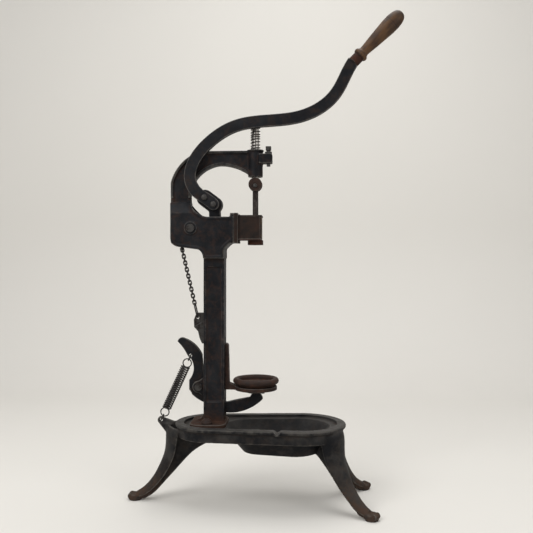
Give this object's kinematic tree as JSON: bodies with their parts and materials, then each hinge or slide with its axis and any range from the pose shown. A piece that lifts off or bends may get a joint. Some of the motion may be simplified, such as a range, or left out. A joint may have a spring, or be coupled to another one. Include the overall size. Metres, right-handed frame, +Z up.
{
  "type": "double lever wine corker",
  "caption": "Standing wine corker: a long hand lever closes a jaw and drives a plunger that pushes the cork into a bottle on a sprung platform above a three-legged cast stand.",
  "frame": {"origin": "on the floor under the middle of the corker's box", "axes": "+Z up, +X from the column to the bottle platform and the handle, -Y the side the lever lies on"},
  "size_m": [0.5886, 0.2238, 1.0382],
  "materials": {
    "black_cast_iron": "cast, blacked, worn",
    "lever_iron": "forged, darkened",
    "turned_wood": "turned, oiled, hand-worn",
    "rusted_iron": "brown rust, worn",
    "jaw_iron": "machined, tarnished",
    "bright_steel": "turned, rubbed bright",
    "dark_steel": "machined, darkened",
    "spring_wire": "drawn wire, darkened",
    "bronze": "machined, tarnished"
  },
  "bodies": {
    "frame": {"base_casting": "black_cast_iron", "column_casting": "black_cast_iron", "foot_bolts": "rusted_iron", "foot_nuts": "rusted_iron", "housing_screws": "dark_steel", "guide_bush": "bronze", "mouth_collar": "jaw_iron", "lever_axle": "dark_steel", "axle_nut": "dark_steel", "platform_lever_pin": "dark_steel", "stop_locknut": "dark_steel", "jaw_housing": "jaw_iron", "jaw_cover": "jaw_iron", "bottom_plate": "rusted_iron", "fixed_jaw": "bronze"},
    "hand_lever": {"lever_bar": "lever_iron", "rocker": "lever_iron", "lever_bolts": "dark_steel", "handle_ferrule": "rusted_iron", "handle_grip": "turned_wood"},
    "plunger": {"plunger_rod": "bright_steel", "rod_cap": "bright_steel", "lower_plunger": "bright_steel", "clamp_knuckle": "lever_iron", "knuckle_screw": "dark_steel", "return_spring": "spring_wire"},
    "jaw": {"jaw_slide": "dark_steel", "moving_jaw": "bronze"},
    "chain": {"chain_links": "spring_wire", "chain_hook": "spring_wire"},
    "lock_shoe": {"lock_shoe": "dark_steel"},
    "platform": {"platform_dish": "rusted_iron", "platform_bracket": "rusted_iron", "platform_screws": "dark_steel"},
    "platform_lever": {"platform_lever": "lever_iron"},
    "tension_spring": {"tension_spring": "spring_wire", "spring_lower_eye": "spring_wire", "spring_anchor": "spring_wire"},
    "spring_top": {"spring_hook": "spring_wire", "spring_upper_eye": "spring_wire"},
    "stop_screw": {"stop_screw": "dark_steel"}
  },
  "joints": [
    {"name": "lever_turn", "type": "hinge", "parent": "frame", "child": "hand_lever", "pos_m": [-0.153, 0, 0.584], "axis": [0, 1, 0], "range_deg": [0, 14.2]},
    {"name": "plunger_slide", "type": "slide", "parent": "frame", "child": "plunger", "axis": [0, 0, -1], "range_m": [0, 0.04], "stiffness_N_per_m": 900, "springref_m": -0.06, "deforming": ["return_spring"]},
    {"name": "jaw_travel", "type": "slide", "parent": "frame", "child": "jaw", "axis": [1, 0, 0], "range_m": [0, 0.0081]},
    {"name": "chain_swing", "type": "hinge", "parent": "hand_lever", "child": "chain", "pos_m": [-0.179, 0, 0.552], "axis": [0, 1, 0], "range_deg": [-16.89, 0]},
    {"name": "shoe_lift", "type": "slide", "parent": "frame", "child": "lock_shoe", "axis": [0, 0, 1], "range_m": [0, 0.0093]},
    {"name": "platform_sink", "type": "slide", "parent": "frame", "child": "platform", "axis": [0, 0, -1], "range_m": [0, 0.018], "stiffness_N_per_m": 1500, "springref_m": -0.03},
    {"name": "platform_rock", "type": "hinge", "parent": "frame", "child": "platform_lever", "pos_m": [-0.1394, 0, 0.2458], "axis": [0, 1, 0], "range_deg": [0, 8.54]},
    {"name": "spring_swing", "type": "hinge", "parent": "frame", "child": "tension_spring", "pos_m": [-0.2215, 0, 0.1725], "axis": [0, 1, 0], "range_deg": [0, 3.01]},
    {"name": "spring_stretch", "type": "slide", "parent": "tension_spring", "child": "spring_top", "axis": [0.417, 0, 0.9089], "range_m": [0, 0.0064], "deforming": ["tension_spring"]},
    {"name": "stop_adjust", "type": "slide", "parent": "frame", "child": "stop_screw", "axis": [0, 0, 1], "range_m": [-0.0022, 0]}
  ],
  "couplings": [
    {"joint": "plunger_slide", "follows": "lever_turn", "m_per_rad": 0.1604},
    {"joint": "jaw_travel", "follows": "lever_turn", "m_per_rad": 0.032284},
    {"joint": "chain_swing", "follows": "lever_turn", "ratio": -1.18},
    {"joint": "shoe_lift", "follows": "lever_turn", "m_per_rad": 0.037006},
    {"joint": "platform_rock", "follows": "platform_sink", "rad_per_m": 8.2333},
    {"joint": "spring_swing", "follows": "platform_sink", "rad_per_m": 2.8889},
    {"joint": "spring_stretch", "follows": "platform_sink", "ratio": 0.34}
  ]
}
